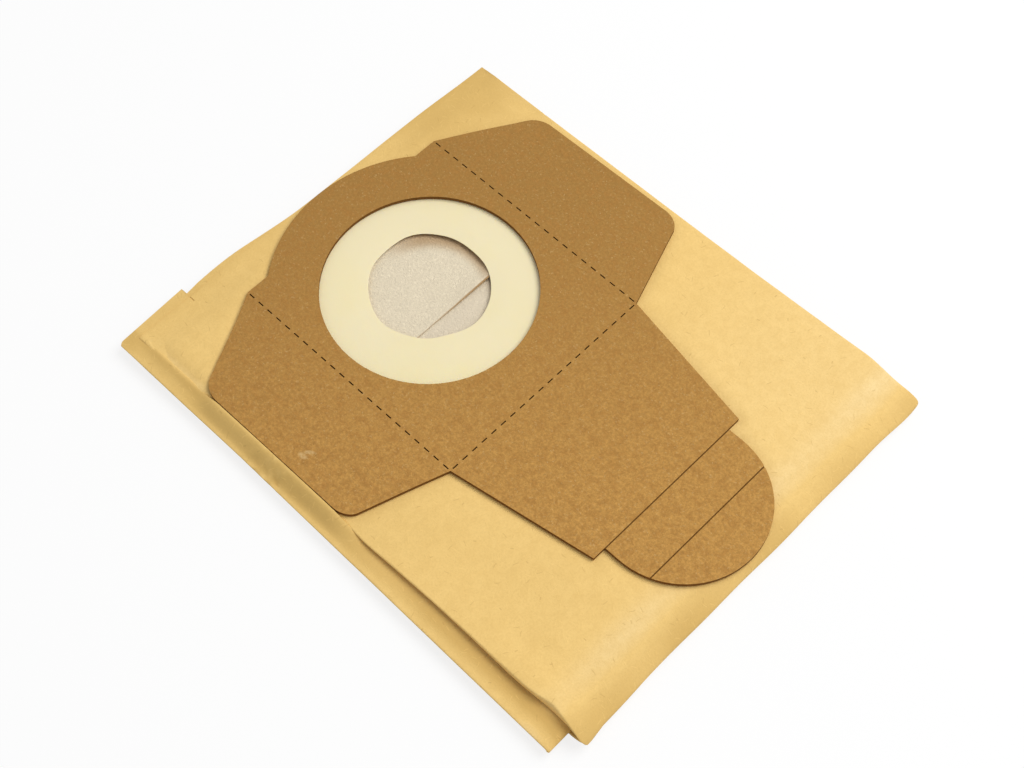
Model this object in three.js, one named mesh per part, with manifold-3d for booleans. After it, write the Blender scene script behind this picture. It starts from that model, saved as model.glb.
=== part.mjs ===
// Vacuum dust bag, folded flat as it is supplied: a side-gusseted paper bag with its tissue liner,
// its die-cut card collar and the soft membrane that seals round the inlet pipe.
// Millimetres, +Z up. X runs along the bag from its glued end to its fold, Y across it.
// Each piece is drawn with the inlet's centre line at x = 0, y = 0 and the floor at z = 0.
import * as THREE from "three";
import { mergeVertices } from "three/addons/utils/BufferGeometryUtils.js";
import Module from "manifold-3d";

const wasm = await Module();
wasm.setup();

// Card collar
const INLET_HOLE_DIAMETER = 85;
const BOARD_THICKNESS = 1.6;
const HEAD_RIM = 20.1; // card between the inlet hole and the round head
const SHOULDER_RIM = 5.9; // card between the inlet hole and the line of the shoulders
const SIDE_RIM = 7.5; // card between the inlet hole and each side fold line
const FRONT_RIM = 19; // card between the inlet hole and the cross fold line
const WING_WIDTH = 39.7;
const WING_BACK_SLANT = 25.4; // how far the wing's back edge leans in over its width
const WING_FRONT_SLANT = 12.8;
const WING_CORNER_BACK = 5; // length of the cut corner along the wing's outer edge
const WING_CORNER_FRONT = 5;
const WING_CORNER_DEPTH = 2.7;
const PANEL_LENGTH = 61;
const PANEL_END_WIDTH = 78.4;
const TAB_WIDTH = 66.8;
const TAB_STRAIGHT = 6.7;
const TAB_SCORE_DISTANCE = 19.5; // from the panel's score line to the tab's own
const SCORE_WIDTH = 0.5;
const SCORE_DEPTH = 0.4;

// Perforated fold lines
const DASH_PITCH = 5;
const DASH_LENGTH = 2.6;
const DASH_WIDTH = 0.5;
const DASH_EDGE_MARGIN = 0.9;
const DASH_SHORTEST = 1;

// Sealing membrane, with the uneven hole of soft latex
const MEMBRANE_THICKNESS = 0.5;
const MEMBRANE_LAP = 5.5; // width glued under the card
const MEMBRANE_HOLE_DIAMETER = 47.9;
const MEMBRANE_HOLE_CENTRE = [-1.2, 0.9];
const MEMBRANE_HOLE_WAVES = [
  { count: 1, height: 0.76, turn: 140 },
  { count: 2, height: 0.24, turn: -5 },
  { count: 3, height: 0.4, turn: 80 },
  { count: 5, height: 0.13, turn: -13 },
  { count: 6, height: 0.1, turn: 108 },
  { count: 7, height: 0.14, turn: 23 },
  { count: 9, height: 0.08, turn: -67 },
];

// Paper bag
const PLY = 0.3;
const FOLD_AIR = 0.55; // air between the plies of a gusset fold
const GUSSET_AIR = 1.3; // air between the two leaves of a gusset
const HALF_GAP = 0.8; // air between the upper half and the half folded under it
const GUSSET_DEPTH = 24;
const END_MARGIN = 0.4; // paper beyond the collar's head
const FOLD_MARGIN = 2; // paper beyond the collar's tab
const PLUS_MARGIN = 2.6; // paper beyond the wing on the +Y side
const PLUS_FLARE = 3.4; // how much wider the +Y side is towards the fold
const STRIP_WIDTH = 8.3; // lower panel showing beyond the top panel on the -Y side
const STRIP_FLARE = 3.6;
const FOLD_FULLNESS = 2; // length of the fold's rounding over its height
const EDGE_LIFT = 1.7; // how far the top panel's -Y edge draws in beside the fold
const EDGE_LIFT_SPAN = 9;
const END_SQUEEZE = 0.75; // height of the pressed end over the bag's full height
const END_RAMP = 20;
const GLUED_BAND = 8;
const UNDER_HALF_SHORT = 4; // how much shorter the lower half is at its glued end
const PAPER_HOLE_CLEARANCE = 2;

// End of the upper half, where a flap of the lower panel stands out beyond a short slit
const FLAP_REACH = 7.2;
const FLAP_TAPER = 1.7;
const FLAP_CORNER = 2.2;
const SLIT_LENGTH = 2.3;
const SLIT_WIDTH = 0.4;
const END_SWELL = 4.2; // how far the end stands out beside the slit
const END_SWELL_SHARE = 0.6; // of the distance to the side fold line, where the swell fades
const END_BOW = 0.6; // how far the end's middle stands out

// Tissue liner, a flat sleeve with a lap joint across it
const LINER_PLY = 0.2;
const LINER_CLEARANCE = 0.35;
const LINER_WIDTH = 120;
const LINER_END_GAP = 3;
const LINER_BAND = 4;
const LAP_DISTANCE = 11.5; // from the inlet's centre to the lap's edge

const SEAT_GAP = 0.3; // between pieces that lie on each other
const EDGE_STEPS = 4; // facets of a tight paper fold
const FOLD_STEPS = 10;
const ROUND_STEPS = 72;
const CUT_REACH = 20; // how far a cutting shape runs past what it cuts

const holeRadius = INLET_HOLE_DIAMETER / 2;
const headRadius = holeRadius + HEAD_RIM;
const shoulderX = -(holeRadius + SHOULDER_RIM);
const sideFold = holeRadius + SIDE_RIM;
const frontFold = holeRadius + FRONT_RIM;
const wingEdge = sideFold + WING_WIDTH;
const panelEnd = frontFold + PANEL_LENGTH;
const tabRadius = TAB_WIDTH / 2;
const tabCentre = panelEnd + TAB_STRAIGHT;
const tabTip = tabCentre + tabRadius;
const gussetFold = wingEdge - GUSSET_DEPTH; // the end's slit runs along this fold
const membraneRadius = holeRadius + MEMBRANE_LAP;
const paperHoleRadius = membraneRadius + PAPER_HOLE_CLEARANCE;

// Heights of the plies of one half of the bag, measured from the half's inner face
const lowPly = PLY / 2;
const lowLeaf = lowPly + PLY + FOLD_AIR;
const highLeaf = lowLeaf + PLY + GUSSET_AIR;
const topPly = highLeaf + PLY + FOLD_AIR;
const halfHeight = topPly + PLY / 2;
const middle = halfHeight + HALF_GAP / 2; // height of the gap between the halves
const bagTop = 2 * middle;
const boardBottom = bagTop + SEAT_GAP;
const boardTop = boardBottom + BOARD_THICKNESS;

const foldCentre = tabTip + FOLD_MARGIN - FOLD_FULLNESS * middle;
const endX = -(headRadius + END_MARGIN);
const flapX = endX - FLAP_REACH;
const underEndX = endX + UNDER_HALF_SHORT;

const radians = THREE.MathUtils.degToRad;
const smooth = THREE.MathUtils.smoothstep;

// Points of an arc in plan, both ends included
function arc(x, y, radius, from, to, steps) {
  const points = [];
  for (let i = 0; i <= steps; i++) {
    const angle = from + ((to - from) * i) / steps;
    points.push(new THREE.Vector2(x + radius * Math.cos(angle), y + radius * Math.sin(angle)));
  }
  return points;
}

function solid(geometry) {
  const bare = geometry.clone();
  bare.deleteAttribute("normal");
  bare.deleteAttribute("uv");
  const merged = mergeVertices(bare, 1e-5);
  const mesh = new wasm.Mesh({
    numProp: 3,
    vertProperties: merged.attributes.position.array,
    triVerts: new Uint32Array(merged.index.array),
  });
  return new wasm.Manifold(mesh);
}

function geometryOf(body) {
  const mesh = body.getMesh();
  const geometry = new THREE.BufferGeometry();
  geometry.setAttribute("position", new THREE.BufferAttribute(mesh.vertProperties, 3));
  geometry.setIndex(new THREE.BufferAttribute(mesh.triVerts, 1));
  geometry.computeVertexNormals();
  return geometry;
}

// A plan outline raised from one height to another
function prism(shape, bottom, top) {
  const geometry = new THREE.ExtrudeGeometry(shape, { depth: top - bottom, bevelEnabled: false });
  return solid(geometry.translate(0, 0, bottom));
}

function disc(radius, bottom, top) {
  return prism(new THREE.Shape(arc(0, 0, radius, 0, 2 * Math.PI, ROUND_STEPS).slice(1)), bottom, top);
}

function block(x0, x1, y0, y1, z0, z1) {
  const geometry = new THREE.BoxGeometry(x1 - x0, y1 - y0, z1 - z0);
  return solid(geometry.translate((x0 + x1) / 2, (y0 + y1) / 2, (z0 + z1) / 2));
}

// Upper side of the collar's outline, from the round head to the tip of the tab
function collarSide() {
  const headAngle = Math.acos(shoulderX / headRadius);
  const outerFrom = shoulderX + WING_BACK_SLANT;
  const outerTo = frontFold - WING_FRONT_SLANT;
  const cornerY = wingEdge - WING_CORNER_DEPTH;
  return [
    ...arc(0, 0, headRadius, Math.PI, headAngle, ROUND_STEPS / 6),
    new THREE.Vector2(shoulderX, sideFold),
    new THREE.Vector2(outerFrom - WING_CORNER_BACK, cornerY),
    new THREE.Vector2(outerFrom, wingEdge),
    new THREE.Vector2(outerTo - WING_CORNER_FRONT, wingEdge),
    new THREE.Vector2(outerTo, cornerY),
    new THREE.Vector2(frontFold, sideFold),
    new THREE.Vector2(panelEnd, PANEL_END_WIDTH / 2),
    new THREE.Vector2(panelEnd, tabRadius),
    ...arc(tabCentre, 0, tabRadius, Math.PI / 2, 0, ROUND_STEPS / 4),
  ];
}

// Dashes of a perforated line between two ends, as pairs of start and finish
function dashes(from, to) {
  const spans = [];
  const count = Math.ceil((to - from) / DASH_PITCH);
  for (let i = 0; i < count; i++) {
    const centre = from + DASH_PITCH * (i + 0.5);
    const start = Math.max(centre - DASH_LENGTH / 2, from + DASH_EDGE_MARGIN);
    const finish = Math.min(centre + DASH_LENGTH / 2, to - DASH_EDGE_MARGIN);
    if (finish - start > DASH_SHORTEST) spans.push([start, finish]);
  }
  return spans;
}

function slot(x0, x1, y0, y1) {
  return new THREE.Shape([
    new THREE.Vector2(x0, y0),
    new THREE.Vector2(x1, y0),
    new THREE.Vector2(x1, y1),
    new THREE.Vector2(x0, y1),
  ]);
}

// Slots of the two side fold lines and of the cross fold line
function perforations() {
  const half = DASH_WIDTH / 2;
  const slots = [];
  for (const [start, finish] of dashes(shoulderX, frontFold)) {
    slots.push(slot(start, finish, sideFold - half, sideFold + half));
    slots.push(slot(start, finish, -sideFold - half, -sideFold + half));
  }
  for (const [start, finish] of dashes(-sideFold, sideFold)) {
    slots.push(slot(frontFold - half, frontFold + half, start, finish));
  }
  return slots;
}

function collarBoard() {
  const side = collarSide();
  const mirrored = side
    .slice(1, -1)
    .reverse()
    .map((p) => new THREE.Vector2(p.x, -p.y));
  const below = boardBottom - CUT_REACH;
  const above = boardTop + CUT_REACH;
  let body = prism(new THREE.Shape([...side, ...mirrored].reverse()), boardBottom, boardTop);
  body = body.subtract(disc(holeRadius, below, above)).subtract(prism(perforations(), below, above));
  for (const x of [panelEnd + SCORE_WIDTH / 2, panelEnd + TAB_SCORE_DISTANCE]) {
    const half = SCORE_WIDTH / 2;
    const groove = block(x - half, x + half, -wingEdge, wingEdge, boardTop - SCORE_DEPTH, above);
    body = body.subtract(groove);
  }
  return geometryOf(body);
}

// Radius of the membrane's hole at an angle: its mean radius plus a few slow waves
function membraneHoleRadius(angle) {
  let radius = MEMBRANE_HOLE_DIAMETER / 2;
  for (const wave of MEMBRANE_HOLE_WAVES) {
    radius += wave.height * Math.cos(wave.count * angle - radians(wave.turn));
  }
  return radius;
}

function sealingMembrane() {
  const top = boardBottom - SEAT_GAP;
  const shape = new THREE.Shape(arc(0, 0, membraneRadius, 0, 2 * Math.PI, ROUND_STEPS).slice(1));
  const [cx, cy] = MEMBRANE_HOLE_CENTRE;
  const rim = [];
  for (let i = 0; i < ROUND_STEPS; i++) {
    const angle = (2 * Math.PI * i) / ROUND_STEPS;
    const radius = membraneHoleRadius(angle);
    rim.push(new THREE.Vector2(cx + radius * Math.cos(angle), cy + radius * Math.sin(angle)));
  }
  shape.holes.push(new THREE.Path(rim));
  return geometryOf(prism(shape, top - MEMBRANE_THICKNESS, top));
}

// Share of its full height that the bag has at x: pressed thin at the glued end
function squeeze(x) {
  return END_SQUEEZE + (1 - END_SQUEEZE) * smooth(x, endX, endX + END_RAMP);
}

// Stations of the folded path: along the upper half, round the fold and back along the lower half
function stations(upperEnd, underEnd, extra) {
  const liftFrom = foldCentre - 2 * EDGE_LIFT_SPAN;
  const upper = [upperEnd, ...spaced(endX, endX + END_RAMP, 5), ...spaced(0, liftFrom, 4)];
  upper.push(...spaced(liftFrom, foldCentre, 6).slice(1), ...extra);
  const under = [underEnd, ...spaced(endX, endX + END_RAMP, 5), ...spaced(0, foldCentre, 3)];
  const path = sorted(upper, upperEnd).map((x) => ({ x, turn: Math.PI / 2 }));
  for (let i = 1; i < FOLD_STEPS; i++) {
    path.push({ x: foldCentre, turn: Math.PI / 2 - (Math.PI * i) / FOLD_STEPS });
  }
  const back = sorted(under, underEnd).reverse();
  return [...path, ...back.map((x) => ({ x, turn: -Math.PI / 2 }))];
}

function spaced(from, to, count) {
  return Array.from({ length: count + 1 }, (_, i) => from + ((to - from) * i) / count);
}

function sorted(values, least) {
  const kept = values.filter((x) => x >= least);
  return [...new Set(kept)].sort((a, b) => a - b);
}

// Height of the gap between the two halves, so that the lower half lies on the floor all along
function middleAt(x) {
  return topPly * squeeze(x) + PLY / 2 + HALF_GAP / 2;
}

// Puts a point of the section, y across and h above the half's inner face, at a station of the path.
// The inner plies turn more sharply than the outer ones.
function place(station, y, h) {
  const reach = HALF_GAP / 2 + h;
  const fullness = FOLD_FULLNESS * Math.sqrt(reach / middle);
  const x = station.x + fullness * reach * Math.cos(station.turn);
  return new THREE.Vector3(x, y, middleAt(station.x) + reach * Math.sin(station.turn));
}

// A closed skin through rings of equal length, capped at both ends
function skin(path, ringAt) {
  const rings = path.map(ringAt);
  const count = rings[0].length;
  const positions = [];
  rings.forEach((ring, i) => {
    ring.forEach(([y, h]) => positions.push(...place(path[i], y, h).toArray()));
  });
  const faces = [];
  for (let i = 0; i + 1 < rings.length; i++) {
    for (let j = 0; j < count; j++) {
      const a = i * count + j;
      const b = i * count + ((j + 1) % count);
      faces.push(a, b, a + count, b, b + count, a + count);
    }
  }
  const last = (rings.length - 1) * count;
  const outline = (ring) => ring.map(([y, h]) => new THREE.Vector2(y, h));
  for (const [a, b, c] of THREE.ShapeUtils.triangulateShape(outline(rings[0]), [])) {
    faces.push(a, c, b);
  }
  for (const [a, b, c] of THREE.ShapeUtils.triangulateShape(outline(rings.at(-1)), [])) {
    faces.push(last + a, last + b, last + c);
  }
  const geometry = new THREE.BufferGeometry();
  geometry.setAttribute("position", new THREE.Float32BufferAttribute(positions, 3));
  geometry.setIndex(faces);
  return solid(geometry);
}

// Half turn of a fold in the section: centre, radius, and the side to which it bulges
function halfTurn(y, low, high, side, downwards) {
  const points = [];
  const radius = (high - low) / 2;
  for (let i = 0; i <= EDGE_STEPS; i++) {
    const angle = (Math.PI * i) / EDGE_STEPS - Math.PI / 2;
    const rise = downwards ? -Math.sin(angle) : Math.sin(angle);
    points.push([y + side * radius * Math.cos(angle), (low + high) / 2 + radius * rise]);
  }
  return points;
}

// Edges of the bag across its width at x
function edges(x) {
  const along = THREE.MathUtils.clamp(x / foldCentre, 0, 1);
  const lift = EDGE_LIFT * Math.exp(-(((x - foldCentre) / EDGE_LIFT_SPAN + 1) ** 2));
  return {
    plus: wingEdge + PLUS_MARGIN + PLUS_FLARE * along * along,
    minusTop: -wingEdge + lift,
    minusLow: -wingEdge - STRIP_WIDTH + STRIP_FLARE / 2 - STRIP_FLARE * (0.5 + x / foldCentre / 2),
  };
}

// Section of the gusseted bag at a station, grown outwards or shrunk inwards from the ply's middle
function bagRing(station, grow) {
  const { plus, minusTop, minusLow } = edges(station.x);
  const share = squeeze(station.x);
  const low = lowPly - grow;
  const leafLow = lowLeaf * share + grow;
  const leafHigh = highLeaf * share - grow;
  const top = topPly * share + grow;
  const edge = (PLY + FOLD_AIR) / 2;
  return [
    ...halfTurn(minusTop + edge, leafHigh, top, -1, true),
    ...halfTurn(-gussetFold - edge, leafLow, leafHigh, 1, true),
    ...halfTurn(minusLow + edge, low, leafLow, -1, true),
    ...halfTurn(plus - edge, low, leafLow, 1, false),
    ...halfTurn(gussetFold + edge, leafLow, leafHigh, -1, false),
    ...halfTurn(plus - edge, leafHigh, top, 1, false),
  ];
}

// What is trimmed away beyond the glued end of the upper half
function endTrim() {
  const far = flapX - CUT_REACH;
  const beyond = wingEdge + CUT_REACH;
  const corner = edges(flapX).minusLow;
  const cornerX = flapX + FLAP_TAPER;
  const swellX = endX - END_SWELL;
  const bowX = endX - END_BOW;
  const fadeY = -sideFold * END_SWELL_SHARE;
  const shape = new THREE.Shape();
  shape.moveTo(far, -beyond);
  shape.lineTo(cornerX + FLAP_CORNER, -beyond);
  shape.lineTo(cornerX + FLAP_CORNER, corner);
  shape.quadraticCurveTo(cornerX, corner, cornerX, corner + FLAP_CORNER);
  shape.lineTo(flapX, -gussetFold);
  shape.lineTo(swellX, -gussetFold);
  shape.bezierCurveTo(swellX, fadeY, bowX, fadeY, bowX, 0);
  shape.lineTo(endX, wingEdge);
  shape.lineTo(endX, beyond);
  shape.lineTo(far, beyond);
  const geometry = new THREE.ExtrudeGeometry(shape, {
    depth: halfHeight + CUT_REACH,
    bevelEnabled: false,
    curveSegments: 6,
  });
  return solid(geometry.translate(0, 0, middleAt(endX)));
}

function endSlit() {
  const x0 = endX - END_SWELL - SLIT_WIDTH;
  const x1 = endX - END_SWELL + SLIT_LENGTH;
  const y0 = -gussetFold - SLIT_WIDTH / 2;
  const floor = middleAt(endX) + HALF_GAP / 2 + highLeaf * END_SQUEEZE;
  return block(x0, x1, y0, y0 + SLIT_WIDTH, floor, bagTop + CUT_REACH);
}

function paperBag() {
  const outside = skin(stations(flapX, underEndX, []), (s) => bagRing(s, PLY / 2));
  const hollowFrom = endX + GLUED_BAND;
  const hollowPath = stations(hollowFrom, underEndX + GLUED_BAND, []);
  const inside = skin(hollowPath, (s) => bagRing(s, -PLY / 2));
  const hole = disc(paperHoleRadius, bagTop - PLY - FOLD_AIR / 2, bagTop + CUT_REACH);
  const body = outside.subtract(inside).subtract(hole);
  return geometryOf(body.subtract(endTrim()).subtract(endSlit()));
}

// Section of the flat sleeve; its lower ply is doubled up to the lap
function linerRing(station, grow) {
  const half = LINER_WIDTH / 2;
  const lowest = PLY + LINER_CLEARANCE + LINER_PLY / 2;
  const highest = topPly * squeeze(station.x) - PLY / 2 - LINER_CLEARANCE - LINER_PLY / 2;
  const doubled = grow < 0 && station.turn > 0 && station.x < LAP_DISTANCE ? LINER_PLY : 0;
  const low = lowest - grow + doubled;
  const high = highest + grow;
  const radius = (highest - lowest) / 2;
  return [
    ...halfTurn(-half + radius, low, high, -1, true),
    ...halfTurn(half - radius, low, high, 1, false),
  ];
}

function tissueLiner() {
  const lap = [LAP_DISTANCE - SEAT_GAP / 2, LAP_DISTANCE + SEAT_GAP / 2];
  const from = endX + GLUED_BAND + LINER_END_GAP;
  const outside = skin(stations(from, from + UNDER_HALF_SHORT, lap), (s) =>
    linerRing(s, LINER_PLY / 2),
  );
  const band = from + LINER_BAND;
  const inside = skin(stations(band, band + UNDER_HALF_SHORT, lap), (s) =>
    linerRing(s, -LINER_PLY / 2),
  );
  const hole = disc(paperHoleRadius, middle + halfHeight / 2, bagTop + CUT_REACH);
  return geometryOf(outside.subtract(inside).subtract(hole));
}

function piece(name, geometry, color, roughness) {
  const material = new THREE.MeshStandardMaterial({ color, roughness, metalness: 0 });
  const mesh = new THREE.Mesh(geometry, material);
  mesh.name = name;
  return mesh;
}

const dustBag = new THREE.Group();
dustBag.add(piece("paper_bag", paperBag(), 0xe6c583, 0.75));
dustBag.add(piece("tissue_liner", tissueLiner(), 0xdccdb4, 0.9));
dustBag.add(piece("sealing_membrane", sealingMembrane(), 0xf0e5be, 0.5));
dustBag.add(piece("collar_board", collarBoard(), 0xb08a4e, 0.85));

// The finished part stands with the middle of its footprint at the origin
const footprint = new THREE.Box3().setFromObject(dustBag);
const footprintCentre = footprint.getCenter(new THREE.Vector3());
dustBag.position.set(-footprintCentre.x, -footprintCentre.y, -footprint.min.z);

export default dustBag;
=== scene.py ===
"""Vacuum dust bag, folded flat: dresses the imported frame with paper, tissue, latex and card."""
import math

import bmesh
import bpy
import numpy as np
from mathutils import Matrix, Vector


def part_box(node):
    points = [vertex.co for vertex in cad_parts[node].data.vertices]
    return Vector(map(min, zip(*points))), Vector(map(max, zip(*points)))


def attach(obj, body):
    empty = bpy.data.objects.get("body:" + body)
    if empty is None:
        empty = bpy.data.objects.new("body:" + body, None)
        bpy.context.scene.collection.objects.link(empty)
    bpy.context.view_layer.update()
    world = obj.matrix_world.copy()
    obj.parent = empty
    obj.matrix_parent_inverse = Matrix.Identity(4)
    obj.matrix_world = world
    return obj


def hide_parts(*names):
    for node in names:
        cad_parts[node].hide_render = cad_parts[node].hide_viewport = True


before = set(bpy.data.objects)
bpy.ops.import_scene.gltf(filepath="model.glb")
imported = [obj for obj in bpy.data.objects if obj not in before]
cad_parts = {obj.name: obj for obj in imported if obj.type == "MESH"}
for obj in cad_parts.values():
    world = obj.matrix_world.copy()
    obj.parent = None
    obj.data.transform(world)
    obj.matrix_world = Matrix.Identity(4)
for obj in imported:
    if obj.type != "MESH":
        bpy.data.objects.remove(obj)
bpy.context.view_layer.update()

bl_info = {
    "name": "Vacuum dust bag",
    "version": (1, 0, 0),
    "blender": (4, 5, 0),
    "location": "View3D > Sidebar > Dust bag",
    "description": "Builds the surfaces and finishes of a folded paper vacuum dust bag",
    "category": "Object",
}

MM = 0.001
INLET = (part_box("sealing_membrane")[0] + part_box("sealing_membrane")[1]) / 2
MEMBRANE_LOW, MEMBRANE_HIGH = (corner.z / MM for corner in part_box("sealing_membrane"))
BAG_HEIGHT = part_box("paper_bag")[1].z / MM
LINER_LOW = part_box("tissue_liner")[0].z / MM

# Heights of the plies in one half of the bag, in mm above the half's inner face
LOW_PLY = 0.15
LOW_LEAF = 1.0
HIGH_LEAF = 2.6
TOP_PLY = 3.45

# Height where the halves meet, the air between them, and the step from ply to ply in the glued end
MIDDLE = BAG_HEIGHT / 2
HALF_GAP = 0.8
PRESSED_PLY = 0.26

# Plan of the bag in mm, measured from the inlet's centre line
PLUS_EDGE = 92.3
MINUS_EDGE = -89.7
STRIP_EDGE = -98.0
GUSSET_FOLD = 65.7
FOLD_X = 156.6
TUBE_END = -63.0
UNDER_END = -58.5
LINER_END = -51.8
SLIT_SIDES = (-65.4, -66.0)
SLIT_ROWS = 4
END_ROWS = 8
END_BLEND = -60.0
PAPER_HOLE = 50.0
FLAP_END = -70.2
FLAP_CORNER = 2.4

# Fine rows of points: on the top panel up to its free edge, and on the leaf that banks up there
FREE_FROM = -85.0
BANK = (-88.0, -91.5)

# Middle of the low bulge that runs along the fold, in mm
BULGE = 149.5

# Lowest heights in mm of the points that the inlet may cut, in the bag and in the liner
BAG_CUT_ABOVE = 6.0
LINER_CUT_ABOVE = 6.4

# Plan of the collar in mm, one side of its outline from the round head to the tab
HEAD_RADIUS = 62.6
SHOULDER = (-48.4, 50.0)
WING_EDGE = 89.7
WING = ((-28.0, 87.0), (-23.0, WING_EDGE), (43.7, WING_EDGE), (48.7, 87.0))
PANEL = ((61.5, 50.0), (122.5, 39.2), (122.5, 33.4))
TAB_CENTRE = 129.2
TAB_RADIUS = 33.4

# The wings' outer corners lie farther across than this, and both score lines farther along
CORNERS_BEYOND = 80.0
SCORES_BEYOND = 100.0
SCORE_DEPTH = 0.4

# Rubbed spots on the near wing: place, across, half length and half width, and turn in degrees
SCUFFS = ((19.0, -80.4, 2.9, 1.1, -38.0), (18.2, -83.0, 2.5, 1.5, -10.0))

# Lines along the collar that give its wings points to bend at
BEND_ROWS = (-86.0, -80.0, -74.0, -68.0, -62.0, 62.0, 68.0, 74.0, 80.0, 85.0)

# Share of its height that the bag loses under the near wing's outer edge
WING_SINK = 0.22

# The tissue in mm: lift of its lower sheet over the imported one, air under the bag's top panel,
# step up to the lap's sheet, and the last rows of points before the lap's free edge
LINER_LIFT = 0.45
LINER_AIR = 0.6
LAP_STEP = 0.24
LAP_ROWS = np.array((0.9, 0.6, 0.3, 0.0))

# Waves of the membrane's uneven hole: how many round the hole, height in mm, turn in degrees
HOLE_WAVES = (
    (1, 0.76, 140), (2, 0.24, -5), (3, 0.4, 80), (5, 0.13, -13),
    (6, 0.1, 108), (7, 0.14, 23), (9, 0.08, -67),
)
HOLE_CENTRE = (-1.2, 0.9)
LATEX_SHARE = 0.8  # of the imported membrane's thickness

# Stage: the camera's axes, worked out from the collar's plan, and sizes and places in metres
CAMERA_RIGHT = (0.716922, 0.697154, 0.000041)
CAMERA_UP = (-0.606127, 0.623285, 0.494091)
KEY_PLACE = (0.42, 0.66, 1.30)
KEY_WIDTH = 1.25
FLOOR_RADIUS = 3.0
FLOOR_DROP = 0.00002

MERGE = 2e-6  # points of the board nearer than this, in metres, are one
SHARP_ANGLE = 55.0  # edges of the paper bent more than this, in degrees, stay crisp


# Shapes


def soft_step(value, low, high):
    """Zero below low, one above high, and a cubic ease between them."""
    share = np.clip((value - low) / (high - low), 0.0, 1.0)
    return share * share * (3.0 - 2.0 * share)


def hump(value, centre, width):
    """A bell of height one round centre: e to the minus square of the distance over width."""
    return np.exp(-(((value - centre) / width) ** 2))


def grid_faces(rows, columns, around=False):
    """Quads between neighbouring points of a grid; around joins the last column to the first."""
    row = np.arange(rows - 1)[:, None] * columns
    column = np.arange(columns if around else columns - 1)[None, :]
    following = (column + 1) % columns
    corners = (row + column, row + following, row + columns + following, row + columns + column)
    return np.stack(corners, axis=-1).reshape(-1, 4)


def straight(start, end, height, step, kept=()):
    """Points of a flat ply from start up to but without end, about step apart, through kept."""
    count = max(2, round(abs(end - start) / step))
    values = np.linspace(start, end, count, endpoint=False)
    for value in kept:
        values = values[np.abs(values - value) > step * 0.45]
    values = np.concatenate([values, kept])
    values = np.sort(values)[:: 1 if end > start else -1]
    return np.column_stack([values, np.full(len(values), height)])


def turned(across, start, end, side, count=6):
    """Half a circle from the height start to the height end, bulging to side of across."""
    angle = np.linspace(0.0, math.pi, count, endpoint=False)
    reach = abs(end - start) / 2
    height = (start + end) / 2 + (start - end) / 2 * np.cos(angle)
    return np.column_stack([across + side * reach * np.sin(angle), height])


def bag_section():
    """Section of the gusseted tube: both panels and, at each side, two leaves folded inwards."""
    curl = (TOP_PLY - HIGH_LEAF) / 2
    plus, minus, strip = PLUS_EDGE - curl, MINUS_EDGE + curl, STRIP_EDGE + curl
    inner = GUSSET_FOLD + curl
    parts = [
        straight(plus, FREE_FROM, TOP_PLY, 2.0, SLIT_SIDES),
        straight(FREE_FROM, minus, TOP_PLY, 0.32),
        turned(minus, TOP_PLY, HIGH_LEAF, -1),
        straight(minus, FREE_FROM, HIGH_LEAF, 0.8),
        straight(FREE_FROM, -inner, HIGH_LEAF, 2.6),
        turned(-inner, HIGH_LEAF, LOW_LEAF, 1),
        straight(-inner, BANK[0], LOW_LEAF, 3.0),
        straight(*BANK, LOW_LEAF, 0.3),
        straight(BANK[1], strip, LOW_LEAF, 0.8),
        turned(strip, LOW_LEAF, LOW_PLY, -1),
        straight(strip, plus, LOW_PLY, 3.2, SLIT_SIDES),
        turned(plus, LOW_PLY, LOW_LEAF, 1),
        straight(plus, inner, LOW_LEAF, 3.0),
        turned(inner, LOW_LEAF, HIGH_LEAF, -1),
        straight(inner, plus, HIGH_LEAF, 3.0),
        turned(plus, HIGH_LEAF, TOP_PLY, 1),
    ]
    return np.concatenate(parts)


def fold_path(upper, under, count):
    """Stations along the upper half, round the fold in count steps and back: place and turn."""
    bend = np.linspace(math.pi / 2, -math.pi / 2, count + 1)[1:-1]
    place = np.concatenate([upper, np.full(len(bend), FOLD_X), under])
    turn = [np.full(len(upper), math.pi / 2), bend, np.full(len(under), -math.pi / 2)]
    return place[:, None], np.concatenate(turn)[:, None]


def bag_path():
    """The bag's own stations, with the share of the way to its uneven end in the first rows."""
    reach = FOLD_X - END_BLEND
    upper = np.linspace(END_BLEND, FOLD_X, round(reach / 2.0) + 1)
    upper = np.concatenate([np.full(END_ROWS, END_BLEND), upper])
    place, turn = fold_path(upper, np.linspace(FOLD_X, UNDER_END, round(reach / 3.4)), 16)
    share = np.zeros(len(place))
    share[:END_ROWS] = np.linspace(1.0, 0.0, END_ROWS, endpoint=False)
    return place, turn, share[:, None]


def tube_end(across, height):
    """Where each ply of the upper half ends: the top panel first, the lower panel beyond it.

    The lower panel bellies out by a soft step, and past the slit it stands out as a flap whose
    corner is rounded by a quarter of a circle.
    """
    top = TUBE_END - 0.5 - 1.4 * soft_step(-across, 0.0, 45.0)
    slope = 0.9 * np.clip((92.5 - across) / 100.0, 0.0, 1.0)
    belly = TUBE_END - slope - 3.9 * soft_step(-across, 5.0, 56.0) + 0.4 * hump(across, -66.0, 4.0)
    flap = FLAP_END + 1.7 * (-GUSSET_FOLD - across) / 31.2
    inset = np.clip(across - STRIP_EDGE + 0.4, 0.0, FLAP_CORNER)
    flap = flap + FLAP_CORNER - np.sqrt(FLAP_CORNER**2 - (FLAP_CORNER - inset) ** 2)
    below = np.where(across < -GUSSET_FOLD, flap, belly)
    return np.where(height > (LOW_LEAF + HIGH_LEAF) / 2, np.maximum(top, below), below)


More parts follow.
